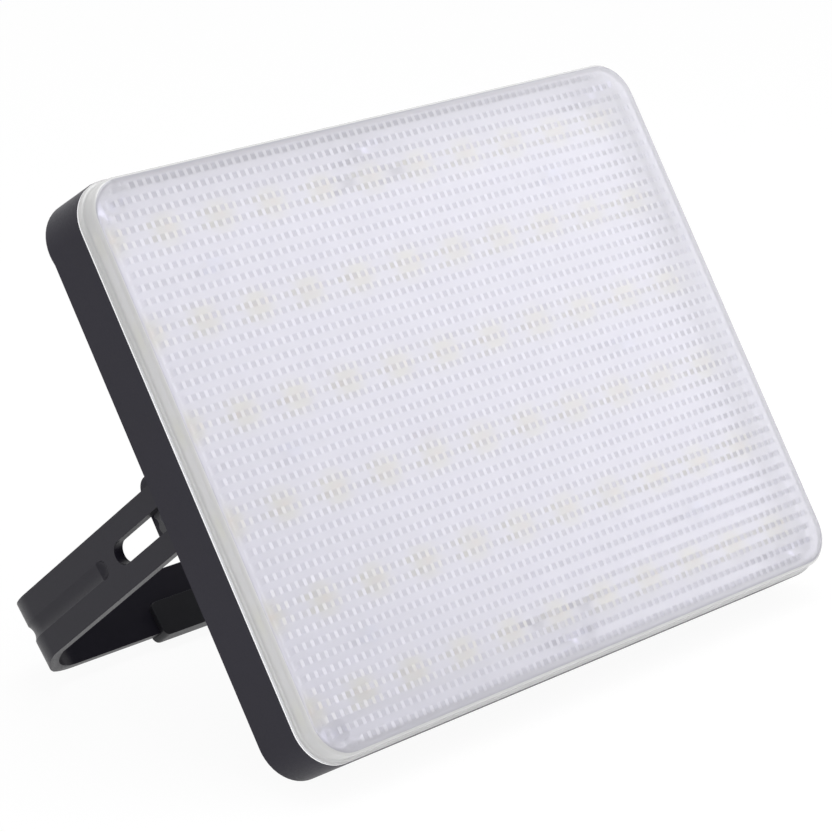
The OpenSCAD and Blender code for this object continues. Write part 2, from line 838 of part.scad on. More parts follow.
// Round-bottomed groove along the middle of the strip's outside, with a dimple at each start
module stand_groove() {
    cut_r = (groove_w * groove_w / 4 + groove_d * groove_d) / (2 * groove_d);
    out = cut_r - groove_d;
    for (side = [0, 1])
        mirror([side, 0, 0]) {
            translate([arm_out + out, groove_start, 0]) rotate([-90, 0, 0])
                cylinder(r = cut_r, h = stand_reach - bend_r - groove_start);
            translate([arm_out - bend_r, stand_reach - bend_r, 0])
                rotate_extrude(angle = 90) translate([bend_r + out, 0]) circle(r = cut_r);
            translate([arm_out + dimple_ball_r - dimple_d, groove_start, 0]) sphere(r = dimple_ball_r);
        }
    translate([0, stand_reach + out, 0]) rotate([0, 90, 0])
        cylinder(r = cut_r, h = 2 * (arm_out - bend_r), center = true);
}

// Side outline of the stand: round arm ends, and a lower edge that drops to the deeper bar in the bends
module bow_side() {
    circle(r = strip_w / 2);
    polygon([[0, -strip_w / 2], [stand_reach - bend_r, -strip_w / 2], [stand_reach - strip_t, -bar_low],
        [stand_reach, -bar_low], [stand_reach, strip_w / 2], [0, strip_w / 2]]);
}

module stand_bracket() {
    color(charcoal) in_stand() difference() {
        intersection() {
            linear_extrude(2 * bar_low, center = true) difference() {
                bow_outline(0);
                bow_outline(strip_t);
            }
            across(-head_w, head_w) bow_side();
        }
        across(-head_w, head_w) {
            for (y = [0, slot_run])
                translate([y, 0]) circle(r = slot_w / 2);
            translate([0, -slot_w / 2]) square([slot_run, slot_w]);
        }
        stand_groove();
        slab(stand_reach - strip_t - eps, stand_reach + eps) translate([0, strip_w / 2])
            rounded_rect(2 * (arm_in - bend_r), 2 * bar_hollow, bar_hollow / 2);
        rod([0, 0], mount_r, stand_reach - strip_t - eps, stand_reach + eps);
    }
}

// Foot pads: two rubber channels pushed over the lower edge of the bar
module foot_pad() {
    color(black_rubber) in_stand() for (side = [-1, 1]) difference() {
        slab(stand_reach - strip_t - foot_t, foot_reach)
            translate([side * foot_mid, foot_h / 2 - foot_drop])
                rounded_rect(foot_run, foot_h, foot_corner_r);
        slab(stand_reach - strip_t, stand_reach)
            translate([-head_w / 2, -bar_low]) square([head_w, foot_h]);
    }
}

// Pivot stack, the same on both sides

module at_pivots() {
    in_head() translate([0, pivot_y, pivot_z])
        for (side = [0, 1]) mirror([side, 0, 0]) children();
}

module pivot_bolts() {
    tail = ear_in - washer_t - nut_t - bolt_tail;
    face = arm_out - slide_gap;
    color(bright_steel) at_pivots() difference() {
        union() {
            pin(shoulder_r, ear_out, face - bolt_nose);
            translate([face - bolt_nose, 0, 0]) rotate([0, 90, 0])
                cylinder(r1 = shoulder_r, r2 = shoulder_r - bolt_nose, h = bolt_nose);
            pin(bolt_r, tail, ear_out + eps);
        }
        pin(bolt_drive_r, face - bolt_drive_d, face + eps, $fn = 6);
    }
}

module index_discs() {
    color(nylon_black) at_pivots() difference() {
        pin(disc_r, ear_out, disc_out);
        pin(shoulder_r + run_fit, ear_out - eps, disc_out + eps);
        for (i = [0 : disc_lobes - 1])
            rotate([i * 360 / disc_lobes, 0, 0]) translate([0, 0, disc_r + scallop_r / 2])
                pin(scallop_r, ear_out - eps, disc_out + eps);
    }
}

module spring_washers() {
    color(bright_steel) at_pivots() difference() {
        pin(washer_r, ear_in - washer_t, ear_in);
        pin(bolt_r + run_fit, ear_in - washer_t - eps, ear_in + eps);
    }
}

module pivot_nuts() {
    color(bright_steel) at_pivots() difference() {
        union() {
            pin(nut_af / sqrt(3), ear_in - washer_t - nut_hex_t, ear_in - washer_t, $fn = 6);
            pin(nut_af / 2 - nut_collar_step, ear_in - washer_t - nut_t, ear_in - washer_t - nut_hex_t + eps);
        }
        pin(bolt_r + run_fit, ear_in - washer_t - nut_t - eps, ear_in + eps);
    }
}

rear_housing();
lens_cover();
lens_seal();
led_board();
led_chips();
driver_chips();
thermal_pad();
board_screws();
lens_screws();
lead_wires();
wire_grommet();
terminal_block();
terminal_screws();
junction_cover();
junction_seal();
junction_screws();
switch_body();
switch_rocker();
gland_body();
gland_locknut();
gland_seal();
gland_nut();
stand_bracket();
foot_pad();
pivot_bolts();
index_discs();
spring_washers();
pivot_nuts();
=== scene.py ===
"""Looks of the LED work light: finishes, softened mouldings and the prismatic lens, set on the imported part.

New pieces are modelled lying flat in millimetres, face up, and are then set in the standing pose in metres.
"""

import json
import logging
import math
from dataclasses import dataclass
from enum import Enum
from typing import Callable

import bmesh
import bpy
from mathutils import Matrix, Vector


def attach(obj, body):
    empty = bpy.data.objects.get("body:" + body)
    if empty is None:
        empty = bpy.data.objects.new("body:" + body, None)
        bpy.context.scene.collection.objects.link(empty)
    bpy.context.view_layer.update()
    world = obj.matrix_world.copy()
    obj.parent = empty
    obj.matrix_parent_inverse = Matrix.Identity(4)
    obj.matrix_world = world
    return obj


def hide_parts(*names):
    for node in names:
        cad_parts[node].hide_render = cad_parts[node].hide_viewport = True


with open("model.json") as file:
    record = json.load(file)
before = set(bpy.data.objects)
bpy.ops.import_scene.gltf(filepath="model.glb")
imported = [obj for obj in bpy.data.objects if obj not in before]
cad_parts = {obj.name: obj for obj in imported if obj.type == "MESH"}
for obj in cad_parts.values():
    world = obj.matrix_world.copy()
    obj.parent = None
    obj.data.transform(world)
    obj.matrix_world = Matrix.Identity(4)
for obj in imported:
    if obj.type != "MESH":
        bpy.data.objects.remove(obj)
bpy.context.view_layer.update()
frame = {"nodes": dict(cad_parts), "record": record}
LOG = logging.getLogger("work_light")
MM = 0.001
# How close, in millimetres, two places count as one, and how far a chord may lie inside its arc
SNUG = 0.01
CHORD_SLACK = 0.1
# Part of a face's normal along an axis from which the face counts as facing that way
FACING = 0.9
# Softening of a CAD node: distance in millimetres at which corners are welded, bend up to which faces make
# one flat face, most sides of such a face, bend from which an edge is rolled, faces across a rolled edge,
# and bend up to which the shading runs on
WELD_MM = 0.002
FLAT_DEG = 0.4
MAX_SIDES = 60
ROLL_FROM_DEG = 28.0
ROLL_STEPS = 2
SHADE_DEG = 40.0
# Inputs and output of a Mix node that mixes colours
MIX_FACTOR, MIX_A, MIX_B, MIX_RESULT = 0, 6, 7, 2
# Span in which most values of a noise lie, and the detail of a soft and of a dense noise
NOISE_LOW, NOISE_HIGH = 0.3, 0.7
CLOUD_DETAIL, GRAIN_DETAIL = 3.0, 2.0
Colour = tuple[float, float, float, float]


def linear(hex_colour: str) -> Colour:
    """Turn an sRGB hex value to linear RGBA, by the two stretches of the sRGB curve.

    Args:
        hex_colour: Colour such as "#3b3a42".

    Returns:
        Red, green, blue and a full alpha.
    """
    shares = [int(hex_colour[start:start + 2], 16) / 255 for start in (1, 3, 5)]
    red, green, blue = [c / 12.92 if c <= 0.04045 else ((c + 0.055) / 1.055) ** 2.4 for c in shares]
    return red, green, blue, 1.0


def add_node(tree: bpy.types.NodeTree, kind: str, links: dict | None = None,
             **settings: object) -> bpy.types.Node:
    """Add a shader node with its settings and links.

    Args:
        tree: Node tree that gets the node.
        kind: Blender's type name of the node.
        links: Input names or indices, each with a value or with the socket that feeds it.
        settings: Attributes of the node itself.

    Returns:
        The new node.
    """
    node = tree.nodes.new(kind)
    for key, value in settings.items():
        setattr(node, key, value)
    for key, value in (links or {}).items():
        if isinstance(value, bpy.types.NodeSocket):
            tree.links.new(value, node.inputs[key])
        else:
            node.inputs[key].default_value = value
    return node


def noise_at(tree: bpy.types.NodeTree, place: bpy.types.NodeSocket, size_mm: float,
             detail: float) -> bpy.types.NodeSocket:
    """Add a noise.

    Args:
        tree: The material's nodes.
        place: Coordinates in which it lies.
        size_mm: Size of its patches.
        detail: How much finer noise is in them.

    Returns:
        The socket with its value.
    """
    return add_node(tree, "ShaderNodeTexNoise", {
        "Vector": place, "Scale": 1 / (size_mm * MM), "Detail": detail}).outputs["Fac"]


def mixed_colour(tree: bpy.types.NodeTree, share: bpy.types.NodeSocket, first: Colour | bpy.types.NodeSocket,
                 second: Colour) -> bpy.types.NodeSocket:
    """Mix two colours.

    Args:
        tree: The material's nodes.
        share: How much of the second colour there is.
        first: The first colour, or the socket that gives it.
        second: The second colour.

    Returns:
        The socket with the mixed colour.
    """
    return add_node(tree, "ShaderNodeMix", {MIX_FACTOR: share, MIX_A: first, MIX_B: second},
                    data_type="RGBA").outputs[MIX_RESULT]


def varied_gloss(tree: bpy.types.NodeTree, noise: bpy.types.NodeSocket, roughness: float,
                 spread: float) -> bpy.types.NodeSocket:
    """Let a noise vary a roughness.

    Args:
        tree: The material's nodes.
        noise: Noise that varies it.
        roughness: Its middle value.
        spread: How far the noise takes it to either side.

    Returns:
        The socket with the roughness.
    """
    return add_node(tree, "ShaderNodeMapRange", {
        "Value": noise, "From Min": NOISE_LOW, "From Max": NOISE_HIGH,
        "To Min": roughness - spread, "To Max": roughness + spread}).outputs["Result"]


class Pick(Enum):
    """Kind of element that is selected in edit mode."""

    FACES = "FACE"
    EDGES = "EDGE"


class LensZone(Enum):
    """Zone of the lens with a finish of its own, by its material index."""

    FRONT = 0
    HOLLOW = 1
    EDGE = 2
    WALL = 3


@dataclass(frozen=True)
class HeadPose:
    """How the head stands: its lean and the place of the lower front edge of its lens seat."""

    lean: float
    origin: Vector

    @classmethod
    def from_frame(cls) -> "HeadPose":
        """Read the lean from the gland's axis and the place from the lens seat.

        Returns:
            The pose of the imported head.
        """
        mounts = {mount["name"]: mount for mount in frame["record"]["mounts"]}
        axis = mounts["cable_entry"]["axis"]
        lean = math.atan2(-axis[1], -axis[2])
        turned = cls(lean, Vector())
        seal = turned.local_box("lens_seal")
        housing = turned.local_box("rear_housing")
        seat = Vector((0.0, seal[0].y, housing[0].z))
        return cls(lean, turned.matrix() @ seat)

    def matrix(self) -> Matrix:
        """Give the matrix from the head's own millimetres to the standing pose."""
        return Matrix.Translation(self.origin) @ Matrix.Rotation(-self.lean, 4, "X") @ Matrix.Scale(MM, 4)

    def flat_matrix(self, mid_height: float) -> Matrix:
        """Give the matrix for a piece that is modelled lying on its back, centred on the face."""
        upright = Matrix.Translation((0.0, 0.0, mid_height)) @ Matrix.Rotation(math.pi / 2, 4, "X")
        return self.matrix() @ upright

    def local_box(self, node: str) -> tuple[Vector, Vector]:
        """Measure a CAD node along the head's own axes.

        Args:
            node: Name of the node.

        Returns:
            Its lowest and highest corner, in millimetres.
        """
        to_head = self.matrix().inverted()
        points = [to_head @ vertex.co for vertex in frame["nodes"][node].data.vertices]
        low = Vector(tuple(min(point[i] for point in points) for i in range(3)))
        high = Vector(tuple(max(point[i] for point in points) for i in range(3)))
        return low, high


class Bench:
    """Edit-mode work on one piece, as by hand."""

    def __init__(self, piece: bpy.types.Object) -> None:
        """Take the piece that is worked on."""
        self.piece = piece

    def __enter__(self) -> "Bench":
        """Select only the piece and open it.

        Returns:
            The bench itself.
        """
        select_only(self.piece)
        bpy.ops.object.mode_set(mode="EDIT")
        return self

    def __exit__(self, *_: object) -> None:
        """Close the piece."""
        bpy.ops.object.mode_set(mode="OBJECT")

    def pick(self, kind: Pick, test: Callable[..., bool]) -> int:
        """Select the elements that pass a test.

        Args:
            kind: Faces or edges.
            test: Says of an element whether it is selected.

        Returns:
            How many are selected.
        """
        bpy.ops.mesh.select_mode(type=kind.value)
        bpy.ops.mesh.select_all(action="DESELECT")
        mesh = bmesh.from_edit_mesh(self.piece.data)
        elements = mesh.faces if kind is Pick.FACES else mesh.edges
        found = [element for element in elements if test(element)]
        for element in found:
            element.select_set(True)
        bmesh.update_edit_mesh(self.piece.data)
        return len(found)

    def extrude(self, rise: float) -> None:
        """Extrude the selected faces along z."""
        bpy.ops.mesh.extrude_region_move(TRANSFORM_OT_translate={"value": (0.0, 0.0, rise)})

    def outward(self) -> None:
        """Turn all normals outwards."""
        bpy.ops.mesh.select_all(action="SELECT")
        bpy.ops.mesh.normals_make_consistent(inside=False)


def select_only(piece: bpy.types.Object) -> None:
    """Select one object and make it active.

    Args:
        piece: The object.
    """
    bpy.ops.object.select_all(action="DESELECT")
    piece.select_set(True)
    bpy.context.view_layer.objects.active = piece


def apply_modifier(piece: bpy.types.Object, kind: str, **settings: object) -> None:
    """Add a modifier with its settings and apply it.

    Args:
        piece: Object that gets it.
        kind: Blender's type name of the modifier.
        settings: Attributes of the modifier.
    """
    select_only(piece)
    modifier = piece.modifiers.new(kind.title(), kind)
    for key, value in settings.items():
        setattr(modifier, key, value)
    bpy.ops.object.modifier_apply(modifier=modifier.name)


def smooth(piece: bpy.types.Object, angle_deg: float) -> None:
    """Shade a piece smooth up to an angle, with its flat faces kept flat.

    Args:
        piece: The piece.
        angle_deg: Bend between two faces up to which the shading runs on.
    """
    select_only(piece)
    bpy.ops.object.shade_smooth_by_angle(angle=math.radians(angle_deg))
    apply_modifier(piece, "WEIGHTED_NORMAL", keep_sharp=True)


def settle(piece: bpy.types.Object, name: str, place: Matrix) -> None:
    """Name a piece and put its place into its mesh.

    Args:
        piece: The piece.
        name: Its name.
        place: Matrix that sets it in the standing pose.
    """
    piece.name = name
    piece.data.name = name
    piece.matrix_world = place
    select_only(piece)
    bpy.ops.object.transform_apply(location=True, rotation=True, scale=True)


def height(element: bmesh.types.BMFace | bmesh.types.BMEdge) -> float:
    """Give the mean height of a face or an edge."""
    return sum(vertex.co.z for vertex in element.verts) / len(element.verts)


@dataclass(frozen=True)
class Finish:
    """A material: the name of the real one, with the nodes that draw it."""

    name: str

    def material(self) -> bpy.types.Material:
        """Build the material the first time it is asked for.

        Returns:
            The material.
        """
        known = bpy.data.materials.get(self.name)
        if known:
            return known
        made = bpy.data.materials.new(self.name)
        made.use_nodes = True
        tree = made.node_tree
        tree.nodes.clear()
        place = add_node(tree, "ShaderNodeTexCoord").outputs["Object"]
        add_node(tree, "ShaderNodeOutputMaterial", {"Surface": self.shader(tree, place)})
        return made

    def shader(self, tree: bpy.types.NodeTree, place: bpy.types.NodeSocket) -> bpy.types.NodeSocket:
        """Draw the surface.

        Args:
            tree: The material's nodes.
            place: Object coordinates.

        Returns:
            The shader's output socket.
        """
        raise NotImplementedError

    def dress(self, piece: bpy.types.Object) -> None:
        """Put this finish on the whole of a piece."""
        piece.data.materials.clear()
        piece.data.materials.append(self.material())


@dataclass(frozen=True)
class GrainedSurface(Finish):
    """Surface with a cloudy colour, a fine grain that scatters its gloss, and a soft relief."""

    colour: str
    cloud: str
    roughness: float
    roughness_spread: float
    grain_mm: float
    relief_mm: float
    cloud_mm: float = 35.0
    metallic: float = 0.0
    ior: float = 1.5
    specular: float = 0.5

    def shader(self, tree: bpy.types.NodeTree, place: bpy.types.NodeSocket) -> bpy.types.NodeSocket:
        """Draw clouds in the colour, and grain in the gloss and the relief.

        Args:
            tree: The material's nodes.
            place: Object coordinates.

        Returns:
            The shader's output socket.
        """
        clouds = noise_at(tree, place, self.cloud_mm, CLOUD_DETAIL)
        grain = noise_at(tree, place, self.grain_mm, GRAIN_DETAIL)
        relief = add_node(tree, "ShaderNodeBump", {
            "Height": grain, "Strength": 1.0, "Distance": self.relief_mm * MM})
        return add_node(tree, "ShaderNodeBsdfPrincipled", {
            "Base Color": mixed_colour(tree, clouds, linear(self.colour), linear(self.cloud)),
            "Roughness": varied_gloss(tree, grain, self.roughness, self.roughness_spread),
            "Normal": relief.outputs["Normal"], "Metallic": self.metallic, "IOR": self.ior,
            "Specular IOR Level": self.specular}).outputs["BSDF"]


@dataclass(frozen=True)
class Polycarbonate(Finish):
    """Injection-moulded polycarbonate: glossy, more or less milky, with a cool cast."""

    colour: str = "#f3f2fb"
    cloud: str = "#efeef9"
    roughness: float = 0.06
    roughness_spread: float = 0.03
    haze_mm: float = 6.0
    transmission: float = 1.0
    ior: float = 1.585
    # Strength of a painted glow: emission that brightens the piece though it is no lamp
    painted_glow: float = 0.0

    def shader(self, tree: bpy.types.NodeTree, place: bpy.types.NodeSocket) -> bpy.types.NodeSocket:
        """Draw the cast, the haze that the mould leaves in the gloss, and a painted glow: emission though it
        is no lamp.

        Args:
            tree: The material's nodes.
            place: Object coordinates.

        Returns:
            The shader's output socket.
        """
        haze = noise_at(tree, place, self.haze_mm, GRAIN_DETAIL)
        return add_node(tree, "ShaderNodeBsdfPrincipled", {
            "Base Color": mixed_colour(tree, haze, linear(self.colour), linear(self.cloud)),
            "Roughness": varied_gloss(tree, haze, self.roughness, self.roughness_spread),
            "Transmission Weight": self.transmission, "IOR": self.ior,
            "Emission Color": linear(self.colour), "Emission Strength": self.painted_glow}).outputs["BSDF"]


@dataclass(frozen=True)
class SolderMask(Finish):
    """White solder mask on a board: faint raised copper fields, with a painted yellow glow round each LED."""

    colour: str = "#f6f6f4"
    seam: str = "#e6e7e4"
    # Colour and reach of a yellow glow painted on the board round each LED
    painted_led_glow: str = "#d4d040"
    painted_led_glow_mm: float = 9.0
    field_mm: tuple[float, float] = (23.4, 32.4)
    seam_share: float = 0.03
    relief_mm: float = 0.03
    roughness: float = 0.3
    lean: float = 0.0
    start: tuple[float, float] = (0.0, 0.0)

    def shader(self, tree: bpy.types.NodeTree, place: bpy.types.NodeSocket) -> bpy.types.NodeSocket:
        """Draw a copper field for each LED, the seams between them and a painted yellow glow at each middle.

        Args:
            tree: The material's nodes.
            place: Object coordinates.

        Returns:
            The shader's output socket.
        """
        field_w, field_h = self.field_mm[0] * MM, self.field_mm[1] * MM
        # The pattern lies in the brick texture's x-y plane, so the board's lean is turned out first
        flat = add_node(tree, "ShaderNodeMapping", {
            "Vector": place, "Rotation": (self.lean - math.pi / 2, 0.0, 0.0),
            "Location": (field_w / 2 - self.start[0], field_h / 2 - self.start[1], 0.0)}).outputs["Vector"]
        fields = add_node(tree, "ShaderNodeTexBrick", {
            "Vector": flat, "Color1": linear(self.colour), "Color2": linear(self.colour),
            "Mortar": linear(self.seam), "Scale": 1.0, "Mortar Size": self.seam_share * field_w,
            "Brick Width": field_w, "Row Height": field_h}, offset=0.0)
        in_field = add_node(tree, "ShaderNodeVectorMath", {
            0: flat, 1: (field_w, field_h, 0.0), 2: (0.0, 0.0, 0.0)}, operation="WRAP").outputs["Vector"]
        # Painted light: the board turns yellow round each LED, fading out with the distance from its middle
        from_led = add_node(tree, "ShaderNodeVectorMath", {
            0: in_field, 1: (field_w / 2, field_h / 2, 0.0)}, operation="DISTANCE").outputs["Value"]
        glow = add_node(tree, "ShaderNodeMapRange", {
            "Value": from_led, "From Min": 0.0, "From Max": self.painted_led_glow_mm * MM,
            "To Min": 1.0, "To Max": 0.0}, interpolation_type="SMOOTHSTEP").outputs["Result"]
        relief = add_node(tree, "ShaderNodeBump", {
            "Height": fields.outputs["Fac"], "Strength": 1.0, "Distance": self.relief_mm * MM}, invert=True)
        return add_node(tree, "ShaderNodeBsdfPrincipled", {
            "Base Color": mixed_colour(tree, glow, fields.outputs["Color"], linear(self.painted_led_glow)),
            "Roughness": self.roughness, "Normal": relief.outputs["Normal"]}).outputs["BSDF"]


# Charcoal polyester powder coat on a die casting: satin, with a fine orange peel in its highlights
POWDER_COAT = GrainedSurface("charcoal_powder_coat", "#22202b", "#1f1d27", 0.45, 0.05, 0.7, 0.012,
                             specular=0.2)
# White paint inside the housing: bright and matt, to throw the light forward
REFLECTOR_PAINT = GrainedSurface("white_reflector_paint", "#f4f4f2", "#ececea", 0.55, 0.05, 0.8, 0.01)
# Glass-filled nylon from an eroded mould: satin grey-black with an even, dry grain
GLASS_NYLON = GrainedSurface("charcoal_glass_filled_nylon", "#211f28", "#1d1c23", 0.38, 0.06, 0.5, 0.012,
                             specular=0.22)
# Plain black nylon of small mouldings: darker and a little glossier than the stand
BLACK_NYLON = GrainedSurface("black_moulded_nylon", "#2c2c31", "#25252a", 0.38, 0.05, 0.4, 0.006)
# Black rubber: matt, with a dusty bloom in soft patches
BLACK_RUBBER = GrainedSurface("black_moulded_rubber", "#2a2a2e", "#343438", 0.72, 0.08, 0.6, 0.02,
                              cloud_mm=18.0)
# Smooth black rubber of the foot pads: darker, with a satin sheen that brightens at a low angle
PAD_RUBBER = GrainedSurface("black_satin_rubber", "#222226", "#1d1d21", 0.45, 0.05, 0.6, 0.008,
                            specular=0.3)
# Zinc plating on steel: bright blue-white metal with a cloudy dip finish
ZINC_STEEL = GrainedSurface("zinc_plated_steel", "#c3c6cc", "#a9adb6", 0.3, 0.08, 0.8, 0.004, cloud_mm=3.0,
                            metallic=1.0)
# Black zinc plating: dark metal that keeps a soft metallic sheen
BLACK_STEEL = GrainedSurface("black_plated_steel", "#3a3a40", "#2e2e34", 0.36, 0.06, 0.6, 0.004,
                             cloud_mm=4.0, metallic=0.7)
# Turned brass of the terminal screws
TURNED_BRASS = GrainedSurface("turned_brass", "#c9a45f", "#b08c4c", 0.26, 0.06, 0.5, 0.003, cloud_mm=2.0,
                              metallic=1.0)
# Soft grey silicone sheet: matt with a slight dusty cloud
SILICONE_SHEET = GrainedSurface("grey_silicone_sheet", "#9aa0a8", "#8f959e", 0.6, 0.06, 1.2, 0.01)
# Red PVC wire jacket: smooth and glossy, a little uneven along its length
WIRE_JACKET = GrainedSurface("red_pvc_jacket", "#8d3b36", "#7f322e", 0.34, 0.05, 1.5, 0.004, cloud_mm=6.0)
# Ivory nylon of the terminal block: dry and faintly mottled
IVORY_NYLON = GrainedSurface("ivory_moulded_nylon", "#d9d9d2", "#cfcfc6", 0.45, 0.06, 0.6, 0.006)
# White plastic of the LED packages: clean, bright and slightly glossy
LED_PLASTIC = GrainedSurface("white_led_plastic", "#f2f2ef", "#e9e9e4", 0.35, 0.05, 0.4, 0.002,
                             cloud_mm=3.0)
# Phosphor in clear silicone: warm yellow with darker specks, glossy over the resin
PHOSPHOR = GrainedSurface("yellow_phosphor_resin", "#e8c63e", "#d9b32e", 0.22, 0.04, 0.25, 0.004,
                          cloud_mm=0.5)
# Textured front of the lens: half milky with a lavender cast, so the LEDs behind show as faint cream spots
HAZY_LENS = Polycarbonate("hazy_polycarbonate", roughness=0.2, transmission=0.6)
# Plain sides of the lens: less clear, as a thick wall looks, in a darker neutral grey that is painted shade
PAINTED_SHADE_LENS_WALL = Polycarbonate("polycarbonate_wall_painted_shade", "#e2e2e2", "#dedede", 0.22, transmission=0.3)
# Polished polycarbonate of the lens's hollow: clear
CLEAR_LENS = Polycarbonate("clear_polycarbonate")
# Edge of the lens: a painted glow, emission though it is no lamp, makes it brighter than the faces beside it
# The glow stands in for the light that the sheet gathers and pipes to its edge; its colour is plain white
PAINTED_GLOW_LENS_EDGE = Polycarbonate("polycarbonate_edge_painted_glow", "#ffffff", "#f8f8fc", 0.2, transmission=0.0,
                          painted_glow=0.12)
LENS_FINISHES = {
    LensZone.FRONT: HAZY_LENS,
    LensZone.HOLLOW: CLEAR_LENS,
    LensZone.EDGE: PAINTED_GLOW_LENS_EDGE,
    LensZone.WALL: PAINTED_SHADE_LENS_WALL,
}


def softened_copy(node: str, name: str, roll_mm: float) -> bpy.types.Object:
    """Copy a CAD node, weld its triangles into clean faces and roll its sharp edges.

    Args:
        node: Name of the CAD node.
        name: Name of the new piece.
        roll_mm: Width of the rolled edges.

    Returns:
        The new piece, in the node's place.
    """
    piece = bpy.data.objects.new(name, frame["nodes"][node].data.copy())
    bpy.context.scene.collection.objects.link(piece)
    with Bench(piece):
        bpy.ops.mesh.customdata_custom_splitnormals_clear()
        bpy.ops.mesh.select_all(action="SELECT")
        bpy.ops.mesh.remove_doubles(threshold=WELD_MM * MM)
        bpy.ops.mesh.dissolve_limited(angle_limit=math.radians(FLAT_DEG))
        # A face with very many sides would lose part of its area when its edges are rolled
        bpy.ops.mesh.select_face_by_sides(number=MAX_SIDES, type="GREATER", extend=False)
        bpy.ops.mesh.quads_convert_to_tris(quad_method="BEAUTY", ngon_method="BEAUTY")
    apply_modifier(piece, "BEVEL", width=roll_mm * MM, segments=ROLL_STEPS, limit_method="ANGLE",
                   angle_limit=math.radians(ROLL_FROM_DEG), use_clamp_overlap=True, miter_outer="MITER_ARC")
    smooth(piece, SHADE_DEG)
    return piece


def seat(piece: bpy.types.Object, body: str, slot: str, *nodes: str) -> None:
    """Set a finished piece on its body in place of the CAD nodes it stands for.

    Args:
        piece: The finished piece.
        body: Body that carries it.
        slot: Material slot of the record; not used.
        nodes: CAD nodes that it replaces.
    """
    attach(piece, body)
    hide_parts(*nodes)
    LOG.info("%s: %d faces on %s for %s", piece.name, len(piece.data.polygons), body, ", ".join(nodes))


